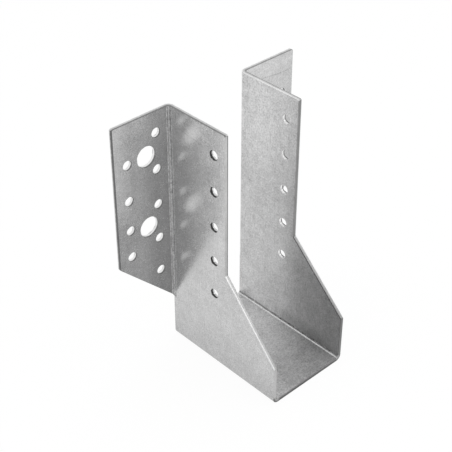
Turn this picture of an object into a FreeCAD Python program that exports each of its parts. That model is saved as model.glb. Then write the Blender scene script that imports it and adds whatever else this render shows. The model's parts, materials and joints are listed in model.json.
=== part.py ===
# Joist hanger, folded from one blank of galvanised steel sheet.
#
# A joist end drops into an open-topped stirrup: a seat with a side plate folded up
# on each hand. Behind the joist each side plate is folded outwards into a header
# flange, which is nailed or bolted to the beam. The front of the side plates is cut
# back above the seat by a slant, and the lower edge of each flange is cut at an angle,
# as the blank is sheared.
#
# Frame: +Z up, +Y towards the beam, X across the joist. The origin is on the underside
# of the seat, in the middle of the hanger's footprint. All lengths are in millimetres.

import FreeCAD
import Part

import math
import os

# Sheet and folds
sheet = 2.0               # thickness of the sheet
fold_inside = 1.2         # inside radius of all four folds
corner = 1.0              # rounding of the blank's outer corners

# Stirrup
joist_width = 45.0        # clear width between the side plates
joist_height = 137.0      # from the top of the seat to the top edge
depth = 75.0              # from the beam's face to the front edge of the seat
upper_depth = 40.0        # from the beam's face to the upper front edge
lip_height = 27.5         # underside to the top of the right plate's upright front edge
lip_height_left = 22.5    # the same on the left plate, which is sheared lower in front
slant_top = 60.5          # underside to the end of the slant
edge_setback = 1.6        # back edge of seat and plates, in front of the beam's face

# Header flanges
flange_reach = 35.5       # from the side plate's inner face to the tip of the flange
flange_foot = 26.5        # height where the lower edge runs into the side plate
flange_angle = 45.0       # slope of the lower edge, in degrees
fold_end = 4.0            # how far above the foot the fold itself ends

# Holes
nail_hole = 5.0           # diameter of every nail hole
bolt_hole = 11.0          # diameter of every bolt hole
nail_pitch = 20.0         # spacing of the nails in a regular column
nail_rows = 5             # nails in a regular column
hole_edge = 2.5           # least metal between a flange hole and the lower edge

inner_nail_x = 10.2       # inner flange column, from the side plate's inner face
inner_nail_drop = 11.5    # its first nail, below the top edge
outer_nail_x = 7.7        # outer flange column, in from the tip
outer_nail_drops = (22.0, 42.0, 59.0, 74.5)   # its nails, below the top edge
bolt_x = 16.5             # bolts, from the side plate's inner face
bolt_drops = (22.0, 62.0)                     # the bolts, below the top edge
joist_nail_edge = 7.5     # side plate nails, behind the upper front edge
joist_nail_drop = 13.5    # their first nail, below the top edge

# Lines that the sizes give
inner_x = joist_width / 2.0
outer_x = inner_x + sheet
tip_x = inner_x + flange_reach
fold_outside = fold_inside + sheet
top_z = sheet + joist_height
beam_y = depth / 2.0
front_y = -depth / 2.0
upper_front_y = beam_y - upper_depth
edge_y = beam_y - edge_setback
fold_y = beam_y - fold_outside          # where a side plate ends and its fold begins
step_z = flange_foot + fold_end
over = 5.0                              # how far a trimming outline runs past the metal


def lower_edge(x):
    """Height of a flange's slanted lower edge at the distance x from the middle."""
    return flange_foot + (x - outer_x) * math.tan(math.radians(flange_angle))


def outline(corners, place):
    """Closed face through corners (u, v, radius), with a tangent arc at each radius."""
    count = len(corners)
    starts, ends, arcs = [], [], []
    for i, (u, v, radius) in enumerate(corners):
        here = FreeCAD.Vector(u, v, 0)
        before = FreeCAD.Vector(corners[i - 1][0], corners[i - 1][1], 0)
        after = FreeCAD.Vector(corners[(i + 1) % count][0], corners[(i + 1) % count][1], 0)
        to_before = (before - here).normalize()
        to_after = (after - here).normalize()
        if not radius:
            starts.append(here)
            ends.append(here)
            arcs.append(None)
            continue
        half = to_before.getAngle(to_after) / 2.0
        run = radius / math.tan(half)
        centre = here + (to_before + to_after).normalize() * (radius / math.sin(half))
        middle = centre + (here - centre).normalize() * radius
        starts.append(here + to_before * run)
        ends.append(here + to_after * run)
        arcs.append(middle)
    edges = []
    for i in range(count):
        if arcs[i] is not None:
            edges.append(Part.Arc(place(starts[i]), place(arcs[i]), place(ends[i])).toShape())
        leave, meet = place(ends[i]), place(starts[(i + 1) % count])
        if leave.distanceToPoint(meet) > 1e-6:      # two arcs can follow each other directly
            edges.append(Part.LineSegment(leave, meet).toShape())
    return Part.Face(Part.Wire(edges))


def stirrup():
    """The seat and both side plates: a U of sheet, each half trimmed to its plate's outline."""
    section = outline(
        [
            (-outer_x, top_z, 0), (-outer_x, 0, fold_outside), (outer_x, 0, fold_outside),
            (outer_x, top_z, 0), (inner_x, top_z, 0), (inner_x, sheet, fold_inside),
            (-inner_x, sheet, fold_inside), (-inner_x, top_z, 0),
        ],
        lambda p: FreeCAD.Vector(p.x, front_y, p.y),
    )
    channel = section.extrude(FreeCAD.Vector(0, edge_y - front_y, 0))
    halves = []
    for hand, lip in ((-1, lip_height_left), (1, lip_height)):
        side = outline(
            [
                (front_y, -over, 0), (edge_y, -over, 0), (edge_y, step_z, 0),
                (fold_y, step_z, 0), (fold_y, top_z, 0), (upper_front_y, top_z, corner),
                (upper_front_y, slant_top, corner), (front_y, lip, corner),
            ],
            lambda p: FreeCAD.Vector(0, p.x, p.y),
        )
        reach = FreeCAD.Vector(hand * (outer_x + over), 0, 0)
        halves.append(channel.common(side.extrude(reach)))
    return halves[0].fuse(halves[1])


def flange(hand):
    """One fold and its header flange, on the side that hand (-1 or 1) gives."""
    section = outline(
        [
            (inner_x, fold_y, 0), (inner_x, beam_y, fold_outside), (tip_x, beam_y, 0),
            (tip_x, beam_y - sheet, 0), (outer_x, beam_y - sheet, fold_inside),
            (outer_x, fold_y, 0),
        ],
        lambda p: FreeCAD.Vector(hand * p.x, p.y, 0),
    )
    bent = section.extrude(FreeCAD.Vector(0, 0, top_z))
    blank = outline(
        [
            (inner_x - over, top_z, 0), (tip_x, top_z, corner), (tip_x, lower_edge(tip_x), corner),
            (outer_x, flange_foot, 0), (outer_x, step_z, 0), (inner_x - over, step_z, 0),
        ],
        lambda p: FreeCAD.Vector(hand * p.x, fold_y - over, p.y),
    )
    return bent.common(blank.extrude(FreeCAD.Vector(0, fold_outside + 2 * over, 0)))


def header_holes():
    """Punches through both flanges: two columns of nails and the bolts between them."""
    punches = []
    inner = [(inner_x + inner_nail_x, inner_nail_drop + row * nail_pitch, nail_hole)
             for row in range(nail_rows)]
    outer = [(tip_x - outer_nail_x, drop, nail_hole) for drop in outer_nail_drops]
    bolts = [(inner_x + bolt_x, drop, bolt_hole) for drop in bolt_drops]
    for x, drop, size in inner + outer + bolts:
        z = top_z - drop
        if z - size / 2.0 - hole_edge < lower_edge(x):
            continue                    # a short flange has no metal for this one
        for hand in (-1, 1):
            start = FreeCAD.Vector(hand * x, fold_y - over, z)
            punches.append(Part.makeCylinder(size / 2.0, fold_outside + 2 * over, start,
                                             FreeCAD.Vector(0, 1, 0)))
    return punches


def joist_holes():
    """Punches through both side plates at once, in one column of nails."""
    punches = []
    y = upper_front_y + joist_nail_edge
    for row in range(nail_rows):
        z = top_z - joist_nail_drop - row * nail_pitch
        if z - nail_hole / 2.0 < fold_outside:
            continue                    # a low stirrup has no flat plate for this one
        start = FreeCAD.Vector(-outer_x - over, y, z)
        punches.append(Part.makeCylinder(nail_hole / 2.0, 2 * (outer_x + over), start,
                                         FreeCAD.Vector(1, 0, 0)))
    return punches


def joist_hanger():
    """The whole folded and punched sheet, as one solid."""
    body = stirrup().fuse([flange(-1), flange(1)]).removeSplitter()
    body = body.cut(header_holes() + joist_holes())
    return body.Solids[0] if len(body.Solids) == 1 else body


os.makedirs("parts", exist_ok=True)
hanger = joist_hanger()
print("solids", len(hanger.Solids), "valid", hanger.isValid(), "volume", round(hanger.Volume, 1))
hanger.exportStep("parts/joist_hanger.step")
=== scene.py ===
"""Looks of a joist hanger: one blank of galvanised steel sheet, punched and folded.

The blank is worked out flat: its outline, its holes and the lines where it is folded. A
fold map then carries every point of it to its place on the finished hanger, so that edges,
holes and folds stay in step.

Flat coordinates, in metres: s runs up the side plates and across the seat, from the left
plate's top edge to the right one's, with 0 in the middle of the seat. q runs from the
front edge to the back and on across the flanges. w is the height above the middle of the
sheet, towards the joist and, on the flanges, towards the beam.
"""
import json
import logging
import math
from dataclasses import dataclass
from enum import Enum
from functools import partial, reduce
from typing import NamedTuple

import bpy
import numpy as np
from bpy.types import ID, Material, Node, NodeSocket, NodeTree, Object, bpy_prop_collection
from mathutils import Matrix, Vector
from mathutils.geometry import delaunay_2d_cdt


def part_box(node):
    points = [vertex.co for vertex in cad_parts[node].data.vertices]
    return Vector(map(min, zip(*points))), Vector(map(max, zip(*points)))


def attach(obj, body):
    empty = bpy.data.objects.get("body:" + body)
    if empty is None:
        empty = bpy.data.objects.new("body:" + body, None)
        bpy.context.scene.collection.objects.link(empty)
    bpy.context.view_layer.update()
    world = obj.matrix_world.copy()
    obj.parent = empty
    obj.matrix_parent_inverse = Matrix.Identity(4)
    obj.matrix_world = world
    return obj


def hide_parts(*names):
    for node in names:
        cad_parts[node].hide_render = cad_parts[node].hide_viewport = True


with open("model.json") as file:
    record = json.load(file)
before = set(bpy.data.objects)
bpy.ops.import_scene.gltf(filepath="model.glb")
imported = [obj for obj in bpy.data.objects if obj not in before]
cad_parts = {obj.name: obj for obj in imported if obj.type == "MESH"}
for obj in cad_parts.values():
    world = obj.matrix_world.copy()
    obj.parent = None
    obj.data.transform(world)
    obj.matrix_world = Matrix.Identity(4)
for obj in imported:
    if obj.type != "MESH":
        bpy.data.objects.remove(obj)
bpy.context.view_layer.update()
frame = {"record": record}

NODE = "joist_hanger"
BODY = "root"
QUARTER = math.pi / 2.0
MM = 1000.0
DECIMALS = 7
# The step for slopes and the least span, in metres, and what stands in for no rise.
TINY = 1e-6
LEAST_RISE = 1e-12
WHITE = (1.0, 1.0, 1.0, 1.0)
NOISE_MIDDLE = 0.5
# Half the step in w from face to face, and in s from hand to hand.
FACE_STEP = 0.0001
HAND_STEP = 0.001
# How squarely an edge faces the front or the back: the part of its normal along q.
SQUARE_ON = 0.9
ASLANT = 0.4
LOG = logging.getLogger(NODE)

Array = np.ndarray
# Centre on the blank and radius of each hole.
Holes = list[tuple[Array, float]]
# A place or a colour.
Triple = tuple[float, float, float]
# The two ends of a change, or the values that it goes between.
Pair = tuple[float, float]
# Where a soft band starts, is full, begins to fade and ends; FAR leaves that side open.
Band = tuple[float, float, float, float]
FAR = math.inf
WHOLE = (-FAR, -FAR, FAR, FAR)


class Face(Enum):
    """The two faces of the sheet, with the sign of w on each."""

    INNER = 1.0
    OUTER = -1.0


class Surface(Enum):
    """Index of the finish that a face of the mesh takes."""

    ZINC = 0
    CUT = 1


@dataclass(frozen=True)
class HangerSizes:
    """Driving sizes of the hanger, in metres; the overall ones come from the box of the imported
    part.
    """

    low: Triple
    high: Triple
    sheet: float = 0.0020
    fold_inside: float = 0.0012
    corner: float = 0.0010
    joist_width: float = 0.0450
    upper_depth: float = 0.0400
    lip_left: float = 0.0225
    lip_right: float = 0.0275
    slant_top: float = 0.0605
    edge_setback: float = 0.0016
    flange_foot: float = 0.0265
    foot_fillet: float = 0.0011
    fold_fade: float = 0.0030
    fold_start: float = 0.0021

    @property
    def outer_x(self) -> float:
        """Outer face of a side plate."""
        return self.joist_width / 2.0 + self.sheet

    @property
    def middle_radius(self) -> float:
        """Radius of a fold at the middle of the sheet."""
        return self.fold_inside + self.sheet / 2.0

    @property
    def fold_length(self) -> float:
        """Length of a fold along the middle of the sheet."""
        return self.middle_radius * QUARTER

    @property
    def half_seat(self) -> float:
        """Half the flat width of the seat, between its two folds."""
        return self.joist_width / 2.0 - self.fold_inside

    @property
    def fold_q(self) -> float:
        """Where a side plate ends and its flange fold begins."""
        return self.high[1] - self.sheet - self.fold_inside

    @property
    def edge_q(self) -> float:
        """Back edge of the seat and of the side plates' feet."""
        return self.high[1] - self.edge_setback

    @property
    def tip_q(self) -> float:
        """Tip of the flange on the flat blank."""
        return self.flange_q(self.high[0])

    def plate_s(self, height: float) -> float:
        """Distance s on the blank of a height on the side plate."""
        return self.half_seat + self.fold_length + height - self.sheet - self.fold_inside

    def flange_q(self, across: float) -> float:
        """Distance q on the blank of a distance across, from the middle, on a flange."""
        return self.fold_q + self.fold_length + across - self.outer_x - self.fold_inside


@dataclass(frozen=True)
class FoldMap:
    """Carries points of the flat blank to their place on the folded hanger."""

    sizes: HangerSizes

    def place(self, flat: Array) -> Array:
        """Folds flat points.

        Along s the sheet is level on the seat, turns up a quarter circle and runs straight
        up. Past fold_q it turns outwards by a second quarter circle and runs straight out.
        The second bend fades out below the flange's foot, where the plate stays flat.

        Args:
            flat: points (s, q, w), one per row.

        Returns:
            Points (x, y, z), one per row.
        """
        size = self.sizes
        s, q, w = flat.T
        run = np.abs(s)
        turn = np.clip((run - size.half_seat) / size.middle_radius, 0.0, QUARTER)
        climb = np.maximum(run - size.half_seat - size.fold_length, 0.0)
        across = np.minimum(run, size.half_seat) + size.middle_radius * np.sin(turn)
        height = size.sheet / 2.0 + size.middle_radius * (1.0 - np.cos(turn)) + climb

        above = height - size.flange_foot + size.fold_start
        rise = np.clip(above / size.fold_fade, 0.0, 1.0)
        share = rise * rise * (3.0 - 2.0 * rise)
        past = np.maximum(q - size.fold_q, 0.0)
        arc = np.minimum(past, size.fold_length)
        bend = share * arc / size.middle_radius
        outwards = arc * bend / 2.0 * np.sinc(bend / (2.0 * np.pi)) ** 2
        onwards = arc * np.sinc(bend / np.pi)
        outwards += (past - arc) * np.sin(bend)
        onwards += (past - arc) * np.cos(bend)

        x = across + outwards - w * np.sin(turn) * np.cos(bend)
        y = np.minimum(q, size.fold_q) + onwards + w * np.sin(bend)
        z = height + w * np.cos(turn)
        return np.column_stack((np.where(s < 0.0, -x, x), y, z))

    def normals(self, flat: Array, flat_normals: Array) -> Array:
        """Turns normals of the flat sheet with the folds.

        The map's slopes come from a small step each way, and a normal follows the inverse
        of their transpose.

        Args:
            flat: points (s, q, w), one per row.
            flat_normals: outward normals there, in the same axes.

        Returns:
            Unit normals on the folded hanger.
        """
        slopes = []
        for axis in range(3):
            shift = np.zeros(3)
            shift[axis] = TINY
            change = self.place(flat + shift) - self.place(flat - shift)
            slopes.append(change / (2.0 * TINY))
        rows = np.stack(slopes, axis=1)
        turned = np.linalg.solve(rows, flat_normals[:, :, None])[:, :, 0]
        return turned / np.linalg.norm(turned, axis=1, keepdims=True)


class Loop(NamedTuple):
    """A closed edge of the blank: its points, the normals off the metal and the cut's tones."""

    points: Array
    normals: Array
    tones: Array


class CutTone(NamedTuple):
    """How the shear or the punch left an edge, from the sheet's inner face to the outer.

    share is the part of the thickness that it burnished, counted from the inner face. The
    others are how much light the burnished part, the torn part and the two rims return. Besides
    the cut's own finish, they hold painted light and shade, which differ from edge to edge.
    """

    share: float
    burnished: float
    torn: float
    inner_rim: float
    outer_rim: float


@dataclass(frozen=True)
class EdgeToneAndShade:
    """The tone of every kind of cut edge, on the outline and in the holes. Besides the burnish
    and tear of the cut, the tones hold painted light and shade: painted highlights on the rims
    of the top edges and of the left slant and in the walls of the right plate's and the
    flanges' holes, and painted shade in the left plate's holes, on the front edges of the
    seat, the folds and the right plate, and on the flange tips. The left plate's front edges
    are lighter than the right plate's.
    """

    usual: CutTone = CutTone(0.55, 0.60, 0.22, 0.60, 0.20)
    top: CutTone = CutTone(0.66, 0.56, 0.30, 0.74, 0.26)
    right_top: CutTone = CutTone(0.66, 0.60, 0.38, 0.82, 0.34)
    tip: CutTone = CutTone(0.40, 0.50, 0.16, 0.60, 0.16)
    left_front: CutTone = CutTone(0.32, 0.30, 0.62, 0.08, 0.60)
    left_lip: CutTone = CutTone(1.00, 0.48, 0.40, 0.36, 0.50)
    right_front: CutTone = CutTone(0.60, 0.23, 0.30, 0.31, 0.38)
    right_lip: CutTone = CutTone(0.60, 0.19, 0.20, 0.15, 0.22)
    seat_front: CutTone = CutTone(0.25, 0.22, 0.13, 0.27, 0.11)
    fold_front: CutTone = CutTone(0.55, 0.34, 0.24, 0.38, 0.17)
    left_slant: CutTone = CutTone(1.00, 0.57, 0.57, 0.52, 1.00)
    right_slant: CutTone = CutTone(1.00, 0.34, 0.34, 0.13, 0.45)
    flange_holes: CutTone = CutTone(0.72, 0.80, 0.20, 0.70, 0.20)
    left_holes: CutTone = CutTone(0.42, 0.75, 0.07, 0.70, 0.07)
    right_holes: CutTone = CutTone(0.78, 0.88, 0.20, 0.88, 0.20)

    def along(self, points: Array, normals: Array, size: HangerSizes) -> Array:
        """Tone at each point of the outline, by which way the edge faces and where it lies.

        Args:
            points: outline points (s, q).
            normals: their outward normals.
            size: the hanger's sizes.

        Returns:
            One row of five values per point.
        """
        s, q = points.T
        run, facing = np.abs(s), normals[:, 1]
        top = size.plate_s(size.high[2]) - size.corner / 2.0
        slant_top = size.plate_s(size.slant_top)
        front = facing < -SQUARE_ON
        slant = (facing < -ASLANT) & ~front & (run < slant_top + size.corner)
        plate = run > size.half_seat + size.fold_length
        left, right = plate & (s < 0.0), plate & (s > 0.0)
        lip = front & (run < slant_top - size.corner)
        # Painted light and shade by kind of edge: lighter rims on the top edges and the left
        # slant, darker fronts on the seat, the folds and the right plate, and darker flange tips.
        kinds = (
            (run > top, self.top),
            (s > top, self.right_top),
            ((facing > SQUARE_ON) & (q > size.tip_q - size.corner / 2.0), self.tip),
            (front & left, self.left_front),
            (front & right, self.right_front),
            (lip & left, self.left_lip),
            (lip & right, self.right_lip),
            (front & ~plate, self.fold_front),
            (front & (run < size.half_seat), self.seat_front),
            (slant & left, self.left_slant),
            (slant & right, self.right_slant),
        )
        tones = np.tile(self.usual, (len(points), 1))
        for chosen, tone in kinds:
            tones[chosen] = tone
        return tones

    def at_hole(self, centre: Array, size: HangerSizes) -> CutTone:
        """Tone of a punched hole, by the part of the sheet that it is in: painted shade in the
        left plate's holes and painted highlights in the right plate's and the flanges'.
        """
        plate_holes = self.left_holes if centre[0] < 0.0 else self.right_holes
        return self.flange_holes if centre[1] > size.fold_q else plate_holes


@dataclass(frozen=True)
class Blank:
    """The flat blank: outline, holes and the triangles of its two faces."""

    sizes: HangerSizes
    edge_tone_and_shade: EdgeToneAndShade = EdgeToneAndShade()
    edge_round: float = 0.00022
    run_step: float = 0.0020
    grid_step: float = 0.0022
    grid_gap: float = 0.45
    least_run: float = 0.00008
    fold_steps: int = 12
    arc_degrees: float = 9.0
    hole_sides: int = 48
    clearance: float = 0.0006

    def fold_stops(self) -> tuple[Array, Array]:
        """Rows of points that the mesh needs across the folds.

        Returns:
            Values of s and values of q.
        """
        across = np.linspace(0.0, self.sizes.fold_length, self.fold_steps + 1)
        s = self.sizes.half_seat + across
        return np.concatenate((-s[::-1], s)), self.sizes.fold_q + across

    def run(self, start: Array, end: Array) -> Array:
        """Points inside a straight run: even steps, and one at each fold row it crosses.

        Args:
            start: where the run starts.
            end: where it ends.

        Returns:
            The points between them.
        """
        length = float(np.linalg.norm(end - start))
        count = max(2, math.ceil(length / self.run_step))
        places = [np.arange(1, count) / count]
        for axis, stops in enumerate(self.fold_stops()):
            span = end[axis] - start[axis]
            if abs(span) > TINY:
                places.append((stops - start[axis]) / span)
        places = np.unique(np.round(np.concatenate(places), DECIMALS))
        margin = self.least_run / length
        places = places[(places > margin) & (places < 1.0 - margin)]
        far = np.diff(places, prepend=-1.0) > margin
        return start + places[far, None] * (end - start)

    def outline(self) -> Loop:
        """The sheared edge: straight runs joined by arcs at the corners.

        Returns:
            The edge, anticlockwise.
        """
        size = self.sizes
        front, upper_front = size.low[1], size.high[1] - size.upper_depth
        top, tip = size.plate_s(size.high[2]), size.tip_q
        foot = size.plate_s(size.flange_foot) - (size.flange_q(size.outer_x) - size.edge_q)
        tip_low = size.plate_s(size.flange_foot + size.high[0] - size.outer_x)
        right, left = (
            np.array([
                (size.plate_s(lip), front, size.corner),
                (size.plate_s(size.slant_top), upper_front, size.corner),
                (top, upper_front, size.corner),
                (top, tip, size.corner),
                (tip_low, tip, size.corner),
                (foot, size.edge_q, size.foot_fillet),
            ])
            for lip in (size.lip_right, size.lip_left)
        )
        corners = np.concatenate((right, left[::-1] * (-1.0, 1.0, 1.0)))
        place, radius = corners[:, :2], corners[:, 2]
        along = np.roll(place, -1, axis=0) - place
        along /= np.linalg.norm(along, axis=1, keepdims=True)
        before = np.roll(along, 1, axis=0)
        turn = np.arctan2(
            before[:, 0] * along[:, 1] - before[:, 1] * along[:, 0],
            (before * along).sum(axis=1),
        )
        reach = radius * np.tan(np.abs(turn) / 2.0)
        points, normals = [], []
        for i in range(len(place)):
            count = math.ceil(abs(math.degrees(turn[i])) / self.arc_degrees) + 1
            angle = np.linspace(0.0, turn[i], count)
            leave = np.array((before[i, 1], -before[i, 0]))
            sweep = np.column_stack((
                leave[0] * np.cos(angle) - leave[1] * np.sin(angle),
                leave[0] * np.sin(angle) + leave[1] * np.cos(angle),
            ))
            bulge = radius[i] * math.copysign(1.0, turn[i])
            centre = place[i] - before[i] * reach[i] - leave * bulge
            points.append(centre + bulge * sweep)
            normals.append(sweep)
            after = (i + 1) % len(place)
            straight = self.run(
                place[i] + along[i] * reach[i], place[after] - along[i] * reach[after]
            )
            points.append(straight)
            normals.append(np.tile((along[i, 1], -along[i, 0]), (len(straight), 1)))
        points, normals = np.concatenate(points), np.concatenate(normals)
        return Loop(points, normals, self.edge_tone_and_shade.along(points, normals, size))

    def hole(self, centre: Array, radius: float) -> Loop:
        """A round hole, clockwise, so that its normals point to the hole's middle.

        Args:
            centre: its middle (s, q).
            radius: its radius.

        Returns:
            The hole's edge.
        """
        angle = -np.arange(self.hole_sides) * 2.0 * np.pi / self.hole_sides
        spokes = np.column_stack((np.cos(angle), np.sin(angle)))
        tones = np.tile(self.edge_tone_and_shade.at_hole(centre, self.sizes), (self.hole_sides, 1))
        return Loop(centre + radius * spokes, -spokes, tones)

    def grid(self, edge: Array, holes: Holes) -> Array:
        """Points inside the faces: an even grid with denser rows across the folds.

        Args:
            edge: the outline's points.
            holes: centre and radius of each hole.

        Returns:
            Points (s, q) that keep clear of the outline and the holes.
        """
        dense_s, dense_q = self.fold_stops()
        low, high = edge.min(axis=0), edge.max(axis=0)
        lines = []
        for axis, dense in enumerate((dense_s, dense_q)):
            even = np.arange(low[axis], high[axis], self.grid_step)
            gap = np.abs(even[:, None] - dense).min(axis=1)
            clear = even[gap > self.grid_step * self.grid_gap]
            lines.append(np.sort(np.concatenate((clear, dense))))
        points = np.stack(np.meshgrid(*lines, indexing="ij"), axis=-1).reshape(-1, 2)
        below_flange = np.abs(points[:, 0]) < self.sizes.plate_s(self.sizes.lip_left)
        points = points[~(np.isin(points[:, 1], dense_q) & below_flange)]
        keep = inside(points, edge) & (distance(points, edge) > self.clearance)
        for centre, radius in holes:
            keep &= np.linalg.norm(points - centre, axis=1) > radius + self.clearance
        return points[keep]


def inside(points: Array, edge: Array) -> Array:
    """Which points lie inside an edge: a ray along s crosses it an odd number of times.

    Args:
        points: points (s, q).
        edge: points of a closed edge.

    Returns:
        One truth value per point.
    """
    start, end = edge, np.roll(edge, -1, axis=0)
    height = points[:, 1:2]
    spans = (start[:, 1] > height) != (end[:, 1] > height)
    rise = end[:, 1] - start[:, 1]
    rise = np.where(np.abs(rise) < LEAST_RISE, LEAST_RISE, rise)
    crossing = start[:, 0] + (height - start[:, 1]) / rise * (end[:, 0] - start[:, 0])
    return ((spans & (points[:, 0:1] < crossing)).sum(axis=1) % 2) == 1


def distance(points: Array, edge: Array) -> Array:
    """Distance of points from an edge: the least one to any of its straight pieces.

    Args:
        points: points (s, q).
        edge: points of a closed edge.

    Returns:
        One distance per point.
    """
    along = np.roll(edge, -1, axis=0) - edge
    from_start = points[:, None] - edge
    share = np.clip((from_start * along).sum(axis=2) / (along * along).sum(axis=1), 0.0, 1.0)
    return np.linalg.norm(from_start - share[..., None] * along, axis=2).min(axis=1)


@dataclass
class FoldedSheet:
    """The finished hanger: both faces of the sheet and every cut edge between them."""

    sizes: HangerSizes
    blank: Blank
    arc_rows: int = 4
    wall_rows: int = 4
    merge_mm: float = 1e-5

    def holes(self, record: dict) -> Holes:
        """Centre on the blank and radius of every hole, from the record's fastener patterns.

        Args:
            record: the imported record, with its mounts.

        Returns:
            One (centre, radius) for each punched hole.
        """
        size, found = self.sizes, set()
        for mount in record["mounts"]:
            if mount["kind"] != "bolt_pattern":
                continue
            x, y, z = mount["pos_m"]
            pattern = mount["dims"]
            wide = pattern.get("spacing_x_mm", 0.0) / MM / 2.0
            tall = pattern.get("spacing_y_mm", 0.0) / MM / 2.0
            radius = pattern["hole_r_mm"] / MM
            for level in {z - tall, z + tall}:
                s, q = size.plate_s(level), size.flange_q(abs(x) + wide)
                on_plate = abs(mount["axis"][0]) > abs(mount["axis"][1])
                for place in [(math.copysign(s, x), y)] if on_plate else [(-s, q), (s, q)]:
                    found.add((*(round(value, DECIMALS) for value in place), radius))
        return [(np.array((s, q)), radius) for s, q, radius in sorted(found)]

    def profile(self) -> tuple[Array, Array]:
        """Cross-section of a cut edge, from the inner face round to the outer one.

        Each rim is a quarter circle and the wall between them is straight.

        Returns:
            Rows (inset, w) and rows (outward, upward) of the normals.
        """
        rim, half = self.blank.edge_round, self.sizes.sheet / 2.0
        angle = np.linspace(0.0, QUARTER, self.arc_rows + 1)
        drop = rim * (1.0 - np.cos(angle))
        upper = np.column_stack((rim * (1.0 - np.sin(angle)), half - drop))
        upper_normal = np.column_stack((np.sin(angle), np.cos(angle)))
        level = np.linspace(half - rim, rim - half, self.wall_rows + 2)[1:-1]
        wall = np.column_stack((np.zeros_like(level), level))
        wall_normal = np.tile((1.0, 0.0), (len(level), 1))
        flip = np.array((1.0, -1.0))
        rows = np.concatenate((upper, wall, (upper * flip)[::-1]))
        return rows, np.concatenate((upper_normal, wall_normal, (upper_normal * flip)[::-1]))

    def build(self, record: dict) -> Object:
        """Makes the mesh of the hanger.

        Args:
            record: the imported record, with the mounts that give the holes.

        Returns:
            The new object, at the origin, with its place in its mesh.
        """
        holes = self.holes(record)
        loops = [self.blank.outline()] + [self.blank.hole(*hole) for hole in holes]
        rim = self.blank.edge_round
        inner_grid = self.blank.grid(loops[0].points, holes)
        borders = [loop.points - rim * loop.normals for loop in loops]
        flat = np.concatenate(borders + [inner_grid])
        triangles = self.triangulate(flat, borders, holes)
        half = self.sizes.sheet / 2.0
        count = len(flat)

        points, normals, tones = [], [], []
        for side in Face:
            points.append(np.column_stack((flat, np.full(count, side.value * half))))
            normals.append(np.tile((0.0, 0.0, side.value), (count, 1)))
            plain = np.ones((len(inner_grid), loops[0].tones.shape[1]))
            tones.append(np.concatenate([loop.tones for loop in loops] + [plain]))
        skins = triangles.tolist() + (triangles[:, ::-1] + count).tolist()
        walls, used, first = [], 2 * count, 0
        middle, turned = (rows[1:-1] for rows in self.profile())
        for loop in loops:
            size = len(loop.points)
            ring = np.arange(size)
            around = loop.points - middle[:, 0, None, None] * loop.normals
            outward = turned[:, 0, None, None] * loop.normals
            for kept, across, up in ((points, around, middle), (normals, outward, turned)):
                level = np.broadcast_to(up[:, 1, None, None], across.shape[:2] + (1,))
                kept.append(np.concatenate((across, level), axis=2).reshape(-1, 3))
            tones.append(np.tile(loop.tones, (len(middle), 1)))
            index = np.concatenate((
                (first + ring)[None, :],
                used + np.arange(len(middle) * size).reshape(len(middle), size),
                (first + count + ring)[None, :],
            ))
            after = np.roll(index, -1, axis=1)
            quads = np.stack((index[:-1], index[1:], after[1:], after[:-1]), axis=-1)
            walls += quads.reshape(-1, 4).tolist()
            used += len(middle) * size
            first += size
        finishes = [Surface.ZINC.value] * len(skins) + [Surface.CUT.value] * len(walls)
        points, normals, tones = (np.concatenate(rows) for rows in (points, normals, tones))
        return self.mesh_object(points, normals, tones, skins + walls, finishes)

    def triangulate(self, flat: Array, borders: list[Array], holes: Holes) -> Array:
        """Triangles of a face, between its outer border and its holes.

        Args:
            flat: all points (s, q) of the face, the borders first.
            borders: the outer border and each hole's border.
            holes: centre and radius of each hole.

        Returns:
            Rows of three indices, anticlockwise seen from the inner face.
        """
        edges, first = [], 0
        for border in borders:
            ring = first + np.arange(len(border))
            edges += np.column_stack((ring, np.roll(ring, -1))).tolist()
            first += len(border)
        millimetres = [Vector(point) for point in (flat * MM).tolist()]
        inside_only = 1
        made = delaunay_2d_cdt(millimetres, edges, [], inside_only, self.merge_mm)
        faces, origin = made[2:4]
        back = np.array([places[0] for places in origin])
        triangles = back[np.array(faces)]
        centre = flat[triangles].mean(axis=1)
        keep = inside(centre, borders[0])
        for middle, radius in holes:
            keep &= np.linalg.norm(centre - middle, axis=1) > radius
        return triangles[keep]

    def mesh_object(
        self, points: Array, normals: Array, tones: Array, faces: list, finishes: list[int]
    ) -> Object:
        """Folds the points and puts everything into a Blender mesh.

        Args:
            points: flat points (s, q, w).
            normals: their outward normals in flat axes.
            tones: the values of the edge's CutTone at each point.
            faces: the indices of each face's corners.
            finishes: finish index of each face.

        Returns:
            The new object.
        """
        fold = FoldMap(self.sizes)
        mesh = bpy.data.meshes.new("folded_sheet")
        mesh.from_pydata(fold.place(points).tolist(), [], faces)
        mesh.polygons.foreach_set("material_index", finishes)
        for name, rows in (("blank", points), ("cut", tones[:, :3])):
            vectors = mesh.attributes.new(name, "FLOAT_VECTOR", "POINT")
            vectors.data.foreach_set("vector", rows.astype(np.float32).ravel())
        for name, column in (("inner_rim", 3), ("outer_rim", 4)):
            rim = mesh.attributes.new(name, "FLOAT", "POINT")
            rim.data.foreach_set("value", tones[:, column].astype(np.float32))
        mesh.polygons.foreach_set("use_smooth", np.ones(len(mesh.polygons), dtype=bool))
        mesh.normals_split_custom_set_from_vertices(fold.normals(points, normals).tolist())
        mesh.validate()
        mesh.update()
        return new_object("folded_sheet", mesh)


def new_object(name: str, data: ID) -> Object:
    """Puts a new object into the scene.

    Args:
        name: its name.
        data: its mesh, lamp or camera.

    Returns:
        The object.
    """
    made = bpy.data.objects.new(name, data)
    bpy.context.scene.collection.objects.link(made)
    return made


class Noise(NamedTuple):
    """A noise: blobs per metre, how fine its detail goes and how far s is drawn out."""

    scale: float
    detail: float = 2.0
    shrink: float = 1.0


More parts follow.
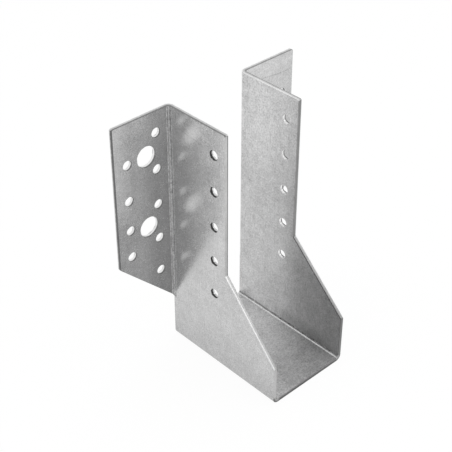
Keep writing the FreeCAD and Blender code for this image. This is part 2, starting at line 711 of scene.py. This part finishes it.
@dataclass(frozen=True)
class Wiring:
    """Short way to place and join the nodes of one shader tree."""

    tree: NodeTree

    def add(self, kind: str, inputs: dict | None = None, **settings: object) -> Node:
        """Places a node.

        Args:
            kind: the node's type name.
            inputs: input name or number to a socket or a value.
            settings: the node's own properties.

        Returns:
            The new node.
        """
        node = self.tree.nodes.new(kind)
        for name, value in settings.items():
            setattr(node, name, value)
        self.join(node, inputs or {})
        return node

    def join(self, node: Node, inputs: dict) -> None:
        """Joins a node's inputs to sockets, or sets their own values.

        Args:
            node: the node.
            inputs: input name or number to a socket or a value.
        """
        for key, value in inputs.items():
            if isinstance(value, NodeSocket):
                self.tree.links.new(value, node.inputs[key])
            else:
                node.inputs[key].default_value = value

    def calc(self, operation: str, *values: object) -> NodeSocket:
        """Result of a Math node with that operation on the values."""
        return self.add("ShaderNodeMath", dict(enumerate(values)), operation=operation).outputs[0]

    def product(self, *values: object) -> object:
        """All the values multiplied."""
        return reduce(partial(self.calc, "MULTIPLY"), values)

    def total(self, *values: object) -> object:
        """All the values added."""
        return reduce(partial(self.calc, "ADD"), values)

    def ramp(self, value: object, low: float, high: float, kind: str = "SMOOTHSTEP") -> NodeSocket:
        """Value carried from low..high to 0..1, held at the ends."""
        inputs = {"Value": value, "From Min": low, "From Max": high}
        return self.add("ShaderNodeMapRange", inputs, interpolation_type=kind).outputs[0]

    def band(self, value: object, limits: Band) -> list[NodeSocket]:
        """Factors that keep a band of a value, one for each side that isn't left open."""
        sides = (limits[:2], limits[:1:-1])
        return [self.ramp(value, *side) for side in sides if math.isfinite(side[0])]

    def noise(self, place: object, noise: Noise) -> NodeSocket:
        """Value of a noise.

        Args:
            place: where on the blank.
            noise: its scale, detail and shrink.

        Returns:
            The value, from 0 to 1.
        """
        inputs = {"Vector": place, "Scale": (noise.shrink, 1.0, 1.0)}
        mapped = self.add("ShaderNodeMapping", inputs)
        inputs = {"Vector": mapped.outputs[0], "Scale": noise.scale, "Detail": noise.detail}
        return self.add("ShaderNodeTexNoise", inputs).outputs[0]

    def mix(self, share: object, first: object, second: object) -> NodeSocket:
        """Value between first and second by share."""
        inputs = {0: share, 2: first, 3: second}
        return self.add("ShaderNodeMix", inputs, data_type="FLOAT").outputs[0]

    def split(self, vector: object) -> bpy_prop_collection:
        """The three parts of a vector."""
        return self.add("ShaderNodeSeparateXYZ", {0: vector}).outputs

    def attribute(self, name: str, output: str) -> NodeSocket:
        """An attribute of the mesh."""
        return self.add("ShaderNodeAttribute", attribute_name=name).outputs[output]

    def bump(self, height: object, strength: float, depth: float) -> NodeSocket:
        """Normal of a surface that height raises by up to depth."""
        inputs = {"Strength": strength, "Distance": depth, "Height": height}
        return self.add("ShaderNodeBump", inputs).outputs[0]

    def on_face(self, face: Face, level: object) -> NodeSocket:
        """1 on that face of the sheet and 0 on the other, from the height w."""
        side = FACE_STEP * face.value
        return self.ramp(level, -side, side)


def group(
    name: str, inputs: dict[str, str], outputs: list[str]
) -> tuple[Wiring, bpy_prop_collection, Node]:
    """Starts a node group.

    Args:
        name: the group's name.
        inputs: socket name to socket type.
        outputs: names of its value outputs.

    Returns:
        Its wiring, the sockets that bring its inputs and the node that takes its outputs.
    """
    tree = bpy.data.node_groups.new(name, "ShaderNodeTree")
    for socket, kind in inputs.items():
        tree.interface.new_socket(socket, in_out="INPUT", socket_type=kind)
    for socket in outputs:
        tree.interface.new_socket(socket, in_out="OUTPUT", socket_type="NodeSocketFloat")
    wire = Wiring(tree)
    return wire, wire.add("NodeGroupInput").outputs, wire.add("NodeGroupOutput")


@dataclass(frozen=True)
class SheetGrain:
    """Mottled zinc: fine grain, larger clouds and streaks along the rolling direction."""

    fine: Noise = Noise(1150.0)
    blots: Noise = Noise(330.0)
    cloud: Noise = Noise(75.0)
    streak: Noise = Noise(1000.0, 1.0, 0.10)
    fine_share: float = 0.68

    def build(self) -> NodeTree:
        """Makes the node group.

        Returns:
            The group. Shade is about 1 and Relief, the grain itself, is about 0.
        """
        names = ("Grain", "Cloud", "Streak")
        inputs = {"Place": "NodeSocketVector"} | dict.fromkeys(names, "NodeSocketFloat")
        wire, enter, leave = group("sheet_grain", inputs, ["Shade", "Relief"])
        fine, blots, cloud, streak = (
            wire.calc("SUBTRACT", wire.noise(enter["Place"], noise), NOISE_MIDDLE)
            for noise in (self.fine, self.blots, self.cloud, self.streak)
        )
        relief = wire.total(
            wire.product(fine, self.fine_share), wire.product(blots, 1.0 - self.fine_share)
        )
        parts = [
            wire.product(part, enter[name]) for part, name in zip((relief, cloud, streak), names)
        ]
        wire.join(leave, {"Shade": wire.total(*parts, 1.0), "Relief": relief})
        return wire.tree


@dataclass(frozen=True)
class FoldMarksAndShade:
    """Marks that folding left on the sheet, and the masks of painted shade in and beside the
    folds, worked out from the flat coordinates.

    line_away, line_gain and dull_depth are values on the plate's and on the flange's side of
    a flange fold. The other pairs and the fades are distances, in metres, over which a mark
    changes: dull_turn from the fold's middle line, the others from its end. near_parts has a
    weight for each. The seat folds' bands are shares of the fold's length, from the seat on.
    """

    foot_fade: float = 0.002
    middle_fade: float = 0.001
    hand_fade: float = 0.010
    near_parts: tuple = (((0.020, 0.006), 0.75), ((0.0045, 0.0005), 0.10))
    right_share: float = 0.20
    # Line: rub lines along a flange fold, partly a painted highlight.
    line_away: Pair = (-0.0010, 0.0001)
    line_gain: Pair = (0.38, 1.20)
    line_edge: Pair = (0.00030, 0.00012)
    dull_edge: Pair = (0.00025, -0.00015)
    dull_turn: Pair = (-0.0010, -0.0005)
    dull_depth: Pair = (0.80, 0.68)
    seat_shiny: Band = (0.22, 0.29, 0.31, 0.38)
    seat_dull: Band = (0.44, 0.54, 0.90, 1.20)
    seat_near: Band = (0.5, 0.7, 1.0, 5.5)
    seat_near_front: Pair = (0.020, -0.030)

    def build(self, size: HangerSizes) -> NodeTree:
        """Makes the node group.

        Args:
            size: the hanger's sizes.

        Returns:
            The group. Dull is 1 in the rough hollow of a fold, which also gets painted shade
            there,
            Polish where the seat's folds shine, Near, the painted shade beside a fold, falls from
            1 at the fold to 0 some way off on the hollow side, and Line is a thin rub mark with a
            painted highlight on both sides of a flange fold.
        """
        names = ["Dull", "Polish", "Near", "Line"]
        wire, enter, leave = group("fold_marks_and_shade", {"Place": "NodeSocketVector"}, names)
        s, q, w = wire.split(enter["Place"])
        run = wire.calc("ABSOLUTE", s)
        length = size.fold_length

        foot = size.plate_s(size.flange_foot)
        across = wire.calc("SUBTRACT", q, size.fold_q + length / 2.0)
        away = wire.calc("SUBTRACT", wire.calc("ABSOLUTE", across), length / 2.0)
        beyond = wire.ramp(across, -self.middle_fade, self.middle_fade)
        right = wire.ramp(s, -self.hand_fade, self.hand_fade)
        near = wire.total(
            *(wire.product(wire.ramp(away, *reach), share) for reach, share in self.near_parts)
        )
        line = wire.calc("SUBTRACT", away, wire.mix(beyond, *self.line_away))
        thin = wire.ramp(wire.calc("ABSOLUTE", line), *self.line_edge)
        depth = wire.mix(wire.ramp(across, *self.dull_turn), *self.dull_depth)
        flange = {
            "Dull": wire.product(wire.ramp(away, *self.dull_edge), depth),
            "Near": wire.product(near, beyond, wire.mix(right, 1.0, self.right_share)),
            "Line": wire.product(thin, wire.mix(beyond, *self.line_gain)),
        }

        along = wire.calc("DIVIDE", wire.calc("SUBTRACT", run, size.half_seat), length)
        front = wire.ramp(q, *self.seat_near_front)
        seat = {
            "Dull": wire.product(*wire.band(along, self.seat_dull)),
            "Polish": wire.product(*wire.band(along, self.seat_shiny)),
            "Near": wire.product(*wire.band(along, self.seat_near), front),
        }

        above_foot = wire.ramp(run, foot - self.foot_fade, foot)
        on_flange = wire.product(wire.on_face(Face.OUTER, w), above_foot)
        on_seat = wire.on_face(Face.INNER, w)
        for name in names:
            parts = [
                wire.product(marks[name], where)
                for marks, where in ((flange, on_flange), (seat, on_seat)) if name in marks
            ]
            wire.join(leave, {name: reduce(partial(wire.calc, "MAXIMUM"), parts)})
        return wire.tree


@dataclass(frozen=True)
class Scratch:
    """A shallow scratch on the blank: its middle, heading, length, width and bow.

    ends and sides say where it fades, as shares of half its length and of half its width.
    """

    s: float
    q: float
    degrees: float
    length: float
    width: float
    bow: float
    depth: float
    ends: Pair = (1.0, 0.7)
    sides: Pair = (1.0, 0.3)

    def mask(self, wire: Wiring, place: NodeSocket) -> NodeSocket:
        """Mask of the scratch.

        Args:
            wire: the material's wiring.
            place: the place on the blank.

        Returns:
            A value that is depth on the scratch and 0 off it.
        """
        inputs = {"Vector": place, "Location": (self.s, self.q, 0.0),
                  "Rotation": (0.0, 0.0, math.radians(self.degrees)),
                  "Scale": (self.length / 2.0, self.width / 2.0, 1.0)}
        local = wire.add("ShaderNodeMapping", inputs, vector_type="TEXTURE")
        along, across, _ = wire.split(local.outputs[0])
        bow = wire.product(along, along, 2.0 * self.bow / self.width)
        bowed = wire.calc("ABSOLUTE", wire.total(across, bow))
        length = wire.ramp(wire.calc("ABSOLUTE", along), *self.ends)
        return wire.product(wire.ramp(bowed, *self.sides), length, self.depth)


@dataclass(frozen=True)
class PaintedLightWash:
    """A soft patch of painted light, or with a negative gain painted shade, over part of one
    face, on one hand of the blank or on both.

    up is a band of distances from the middle of the seat and along a band of q. hand is -1
    for the left hand only, 1 for the right one only and 0 for both.
    """

    face: Face
    up: Band
    along: Band
    gain: float
    hand: float = 0.0

    def mask(self, wire: Wiring, place: NodeSocket) -> NodeSocket:
        """Mask of the wash.

        Args:
            wire: the material's wiring.
            place: the place on the blank.

        Returns:
            A value that is gain in the middle of the wash and 0 off it.
        """
        s, q, w = wire.split(place)
        factors = [wire.on_face(self.face, w)]
        if self.hand:
            factors.append(wire.ramp(s, -HAND_STEP * self.hand, HAND_STEP * self.hand))
        factors += wire.band(wire.calc("ABSOLUTE", s), self.up) + wire.band(q, self.along)
        return wire.product(*factors, self.gain)


@dataclass(frozen=True)
class ZincFinish:
    """Hot-dip galvanised sheet: mottled grey zinc with a soft sheen, dull in the folds, with
    painted shade in and beside the folds, painted light and shade in soft washes and painted
    highlights along the flange folds' rub lines.

    tone, roughness, grain and cloud are for the outer and for the inner face. The painted
    shade beside the folds is for high and for low on the plates, with near_low the distances
    it changes over.
    """

    tint: Triple = (0.562, 0.562, 0.563)
    tone: Pair = (1.00, 1.06)
    metallic: float = 0.86
    roughness: Pair = (0.24, 0.32)
    uneven_roughness: float = 0.25
    fold_roughness: float = 0.55
    polish_roughness: float = 0.12
    grain: Pair = (1.00, 1.55)
    cloud: Pair = (0.19, 0.24)
    streak: float = 0.14
    bump: float = 0.10
    bump_depth: float = 0.0002
    # Painted shade in the hollow of the folds, over the rougher zinc there, and beside them.
    fold_hollow_shade: float = 0.46
    near_fold_shade: Pair = (0.32, 0.46)
    near_low: Pair = (0.110, 0.050)
    fold_speckle: float = 1.9
    rub_and_highlight_relief: Pair = (-0.12, 0.08)
    rub_and_highlight_least: float = 0.35
    scratches: tuple[Scratch, ...] = (
        Scratch(0.0969, 0.0108, 1.4, 0.062, 0.0006, 0.0, 0.17),
        Scratch(0.1353, 0.0330, 1.0, 0.040, 0.0005, 0.0, 0.16),
        Scratch(0.1330, 0.0311, 1.0, 0.046, 0.0005, 0.0, 0.10),
        Scratch(0.1506, 0.0580, 94.9, 0.024, 0.0006, 0.0007, 0.30),
        Scratch(-0.1495, 0.0186, -84.8, 0.016, 0.0005, 0.0004, 0.24),
        Scratch(-0.1502, 0.0190, -72.0, 0.013, 0.0004, 0.0, 0.18),
        Scratch(-0.0548, 0.0022, -17.1, 0.020, 0.0005, 0.0005, 0.12),
        Scratch(0.1397, 0.0216, -128.5, 0.013, 0.0005, 0.0004, 0.14),
        Scratch(0.1537, 0.0152, -88.5, 0.015, 0.0005, 0.0003, 0.20),
        Scratch(-0.0023, -0.0308, -31.1, 0.012, 0.0005, 0.0, 0.10),
        Scratch(-0.1496, 0.0606, -94.2, 0.014, 0.0004, 0.0, 0.10),
    )
    # Painted light: the seat and the plates' feet lighter towards the open back.
    seat_back_painted_light: PaintedLightWash = PaintedLightWash(Face.INNER, (-FAR, -FAR, 0.022, 0.048), (-0.026, 0.010, FAR, FAR), 0.19)
    # Painted light and shade in soft patches: darker towards the bottom of the outer faces and by
    # the seat's folds, lighter and darker patches on plates and flanges standing in for
    # reflections.
    painted_light_washes: tuple[PaintedLightWash, ...] = (
        PaintedLightWash(Face.OUTER, (-FAR, -FAR, 0.018, 0.056), WHOLE, -0.17),
        PaintedLightWash(Face.OUTER, (0.075, 0.115, FAR, FAR), (-FAR, -FAR, 0.008, 0.026), 0.12),
        PaintedLightWash(Face.OUTER, (0.136, 0.150, FAR, FAR), (0.000, 0.010, 0.018, 0.024), 0.12),
        PaintedLightWash(Face.OUTER, (0.136, 0.156, FAR, FAR), (0.034, 0.040, 0.048, 0.062), 0.18),
        PaintedLightWash(Face.OUTER, (0.080, 0.100, 0.135, 0.146), (0.018, 0.028, 0.034, 0.038), -0.07),
        PaintedLightWash(Face.OUTER, (-FAR, -FAR, 0.148, 0.158), (0.042, 0.052, FAR, FAR), -0.075),
        PaintedLightWash(Face.OUTER, (-FAR, -FAR, 0.110, 0.140), (0.064, 0.072, FAR, FAR), -0.04),
        PaintedLightWash(Face.OUTER, (0.0205, 0.0212, 0.0228, 0.0250), WHOLE, -0.28),
        PaintedLightWash(Face.OUTER, (0.120, 0.135, 0.156, 0.164), (0.048, 0.062, FAR, FAR), 0.09, 1.0),
        PaintedLightWash(Face.INNER, (0.0195, 0.0240, 0.0340, 0.0440), (0.022, 0.034, FAR, FAR), -0.20),
        PaintedLightWash(Face.INNER, (0.056, 0.068, 0.108, 0.136), (-FAR, -FAR, -0.008, 0.018), -0.26),
        PaintedLightWash(Face.INNER, (0.026, 0.040, 0.056, 0.068), (-FAR, -FAR, -0.010, 0.006), -0.25),
        PaintedLightWash(Face.INNER, (0.030, 0.047, 0.107, 0.132), (0.002, 0.018, FAR, FAR), -0.07),
        PaintedLightWash(Face.INNER, (-FAR, -FAR, 0.021, 0.026), (-FAR, -FAR, -0.016, 0.006), 0.11),
        PaintedLightWash(Face.INNER, (-FAR, -FAR, 0.012, 0.020), (-0.004, 0.006, FAR, FAR), 0.13),
        PaintedLightWash(Face.INNER, (0.095, 0.125, FAR, FAR), (0.006, 0.018, FAR, FAR), 0.05),
        PaintedLightWash(Face.INNER, (0.0225, 0.0255, 0.0275, 0.0340), (-0.030, -0.014, 0.000, 0.010), -0.20),
    )

    def material(self, grain: NodeTree, marks: NodeTree) -> Material:
        """Builds the material.

        Args:
            grain: the mottling group.
            marks: the group of fold marks and of the painted shade in and beside the folds.

        Returns:
            The material.
        """
        material, wire, shader = new_material("zinc")
        place = wire.attribute("blank", "Vector")
        s, _, w = wire.split(place)
        inner = wire.on_face(Face.INNER, w)
        mottle = wire.add("ShaderNodeGroup", {
            "Place": place,
            "Grain": wire.mix(inner, *self.grain),
            "Cloud": wire.mix(inner, *self.cloud),
            "Streak": self.streak,
        }, node_tree=grain).outputs
        relief = mottle["Relief"]
        folds = wire.add("ShaderNodeGroup", {"Place": place}, node_tree=marks).outputs

        # Painted shade in the hollow of the folds and beside them.
        low = wire.ramp(wire.calc("ABSOLUTE", s), *self.near_low, kind="LINEAR")
        near = wire.product(folds["Near"], wire.mix(low, *self.near_fold_shade))
        dark = wire.calc("MAXIMUM", wire.product(folds["Dull"], self.fold_hollow_shade), near)
        # Painted light and shade: the lighter seat back and the soft washes.
        shade = wire.product(
            mottle["Shade"],
            wire.calc("SUBTRACT", 1.0, dark),
            wire.total(self.seat_back_painted_light.mask(wire, place), 1.0),
            wire.mix(inner, *self.tone),
            wire.total(*(wash.mask(wire, place) for wash in self.painted_light_washes), 1.0),
        )
        speckle = wire.product(relief, folds["Dull"], self.fold_speckle)
        # Rub lines along the flange folds, partly a painted highlight.
        patchy = wire.mix(wire.ramp(relief, *self.rub_and_highlight_relief), self.rub_and_highlight_least, 1.0)
        shade = wire.total(shade, speckle, wire.product(folds["Line"], patchy))
        scratched = wire.total(*(scratch.mask(wire, place) for scratch in self.scratches))
        inputs = {0: self.tint, "Scale": wire.calc("SUBTRACT", shade, scratched)}
        colour = wire.add("ShaderNodeVectorMath", inputs, operation="SCALE").outputs[0]

        uneven = wire.product(relief, self.uneven_roughness)
        rough = wire.total(uneven, wire.mix(inner, *self.roughness))
        rough = wire.mix(folds["Dull"], rough, self.fold_roughness)
        rough = wire.mix(folds["Polish"], rough, self.polish_roughness)
        normal = wire.bump(relief, self.bump, self.bump_depth)
        wire.join(shader, {"Base Color": colour, "Roughness": rough, "Normal": normal})
        wire.join(shader, {"Metallic": self.metallic})
        return material


@dataclass(frozen=True)
class CutFinish:
    """Cut steel: bright where the punch burnished it, dark and rough where it tore. The tones
    that each edge brings also hold painted light and shade: painted highlights on some rims
    and hole walls, painted shade on others.

    roughness is for the torn and for the burnished part. The ends are heights w as shares of
    the sheet, which goes from -0.5 to 0.5.
    """

    metallic: float = 1.0
    roughness: Pair = (0.50, 0.36)
    grain: float = 0.6
    cloud: float = 0.4
    bump: float = 0.3
    bump_depth: float = 0.0001
    ragged: float = 0.35
    torn_ends: Pair = (0.42, 0.60)
    inner_ends: Pair = (0.24, 0.32)
    outer_ends: Pair = (-0.14, -0.24)

    def material(self, grain: NodeTree, sheet: float) -> Material:
        """Builds the material.

        Args:
            grain: the mottling group.
            sheet: thickness of the sheet.

        Returns:
            The material.
        """
        material, wire, shader = new_material("cut_steel")
        place = wire.attribute("blank", "Vector")
        share, burnished, torn = wire.split(wire.attribute("cut", "Vector"))
        inner, outer = (wire.attribute(rim, "Fac") for rim in ("inner_rim", "outer_rim"))
        mottle = wire.add("ShaderNodeGroup", {
            "Place": place, "Grain": self.grain, "Cloud": self.cloud, "Streak": 0.0,
        }, node_tree=grain).outputs
        level = wire.calc("DIVIDE", wire.split(place)[2], sheet)
        border = wire.total(level, share, wire.product(mottle["Relief"], self.ragged))
        polished = wire.ramp(border, *self.torn_ends)
        tone = wire.mix(polished, torn, burnished)
        tone = wire.mix(wire.ramp(level, *self.inner_ends), tone, inner)
        tone = wire.mix(wire.ramp(level, *self.outer_ends), tone, outer)
        tone = wire.product(tone, mottle["Shade"])
        colour = wire.add("ShaderNodeCombineXYZ", {0: tone, 1: tone, 2: tone}).outputs[0]
        rough = wire.mix(polished, *self.roughness)
        normal = wire.bump(mottle["Relief"], self.bump, self.bump_depth)
        wire.join(shader, {"Base Color": colour, "Roughness": rough, "Normal": normal})
        wire.join(shader, {"Metallic": self.metallic})
        return material


def new_material(name: str) -> tuple[Material, Wiring, Node]:
    """Starts a material.

    Args:
        name: its name.

    Returns:
        The material, its wiring and its main shader.
    """
    material = bpy.data.materials.new(name)
    material.use_nodes = True
    return material, Wiring(material.node_tree), material.node_tree.nodes["Principled BSDF"]


@dataclass(frozen=True)
class Softbox:
    """A square soft lamp that faces the hanger; mirrored lets reflections show it."""

    name: str
    place: Triple
    size: float
    watts: float
    mirrored: bool

    def build(self, target: Vector) -> None:
        """Hangs the lamp.

        Args:
            target: what it is turned to.
        """
        data = bpy.data.lights.new(self.name, "AREA")
        data.shape, data.size, data.energy = "SQUARE", self.size, self.watts
        lamp = new_object(self.name, data)
        lamp.visible_glossy = self.mirrored
        place = Vector(self.place)
        turn = (target - place).to_track_quat("-Z", "Y").to_matrix().to_4x4()
        lamp.matrix_world = Matrix.Translation(place) @ turn


@dataclass(frozen=True)
class Studio:
    """White surroundings, a pale floor and soft lamps."""

    floor_half: float = 3.0
    floor_paint: tuple[float, ...] = (0.90, 0.90, 0.90, 1.0)
    shadow_share: float = 0.05
    front_light: float = 0.60
    front_to_back: Pair = (-0.8, 0.3)
    lamps: tuple[Softbox, ...] = (
        Softbox("top_softbox", (0.05, 0.10, 0.95), 0.70, 2.8, False),
        Softbox("front_softbox", (0.56, -0.62, 0.66), 0.26, 0.46, True),
    )

    def world(self) -> None:
        """White to the eye; as a light and in reflections it is dimmer in front."""
        world = bpy.data.worlds.new("white_room")
        bpy.context.scene.world = world
        world.use_nodes = True
        wire = Wiring(world.node_tree)
        background = world.node_tree.nodes["Background"]
        way = wire.add("ShaderNodeTexCoord").outputs["Generated"]
        back = wire.ramp(wire.split(way)[1], *self.front_to_back)
        light = wire.mix(back, self.front_light, 1.0)
        seen = wire.add("ShaderNodeLightPath").outputs["Is Camera Ray"]
        wire.join(background, {"Color": WHITE, "Strength": wire.mix(seen, light, 1.0)})

    def floor(self, level: float) -> None:
        """A pale floor that keeps the hanger's shadow and looks white, also in reflections.

        Args:
            level: its height.
        """
        half = self.floor_half
        square = ((-half, -half), (half, -half), (half, half), (-half, half))
        mesh = bpy.data.meshes.new("floor")
        mesh.from_pydata([(x, y, level) for x, y in square], [], [(0, 1, 2, 3)])
        material, wire, shader = new_material("pale_floor")
        wire.tree.nodes.remove(shader)
        paint = wire.add("ShaderNodeBsdfDiffuse", {"Color": self.floor_paint})
        white = wire.add("ShaderNodeEmission", {"Color": WHITE, "Strength": 1.0})
        path = wire.add("ShaderNodeLightPath").outputs
        seen = wire.calc("MAXIMUM", path["Is Camera Ray"], path["Is Glossy Ray"])
        share = wire.product(seen, 1.0 - self.shadow_share)
        inputs = {0: share, 1: paint.outputs[0], 2: white.outputs[0]}
        blend = wire.add("ShaderNodeMixShader", inputs)
        wire.join(wire.tree.nodes["Material Output"], {"Surface": blend.outputs[0]})
        mesh.materials.append(material)
        plane = new_object("floor", mesh)

    def build(self, low: Vector, high: Vector) -> None:
        """Sets up the world, the floor and the lamps round the hanger.

        Args:
            low: lowest corner of the hanger's box.
            high: its highest corner.
        """
        self.world()
        self.floor(low[2])
        for lamp in self.lamps:
            lamp.build((low + high) / 2.0)


@dataclass(frozen=True)
class PhotoCamera:
    """Pinhole camera standing where the photograph was taken."""

    place: Triple = (-0.31584, -0.31229, 0.39631)
    azimuth: float = 43.305
    elevation: float = 35.737
    roll: float = 0.062
    focal_pixels: float = 1125.8
    image_pixels: int = 452

    def build(self) -> None:
        """Creates the camera and makes it the scene's own."""
        data = bpy.data.cameras.new("photo_camera")
        data.lens = self.focal_pixels / self.image_pixels * data.sensor_width
        camera = new_object("photo_camera", data)
        turn = Matrix.Rotation(math.radians(-self.azimuth), 4, "Z")
        tilt = Matrix.Rotation(math.radians(90.0 - self.elevation), 4, "X")
        roll = Matrix.Rotation(math.radians(self.roll), 4, "Z")
        camera.matrix_world = Matrix.Translation(Vector(self.place)) @ turn @ tilt @ roll
        bpy.context.scene.camera = camera


def main() -> None:
    """Builds the sheet, its finishes, the studio and the camera."""
    logging.basicConfig(level=logging.INFO, format="%(name)s: %(message)s")
    bpy.context.scene.view_settings.view_transform = "Standard"
    low, high = (Vector(corner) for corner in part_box(NODE))
    sizes = HangerSizes(tuple(low), tuple(high))
    piece = FoldedSheet(sizes, Blank(sizes)).build(frame["record"])
    grain, marks = SheetGrain().build(), FoldMarksAndShade().build(sizes)
    piece.data.materials.append(ZincFinish().material(grain, marks))
    piece.data.materials.append(CutFinish().material(grain, sizes.sheet))
    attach(piece, BODY)
    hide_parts(NODE)
    LOG.info("folded sheet: %d faces", len(piece.data.polygons))
    Studio().build(low, high)
    PhotoCamera().build()


if __name__ == "__main__":
    main()
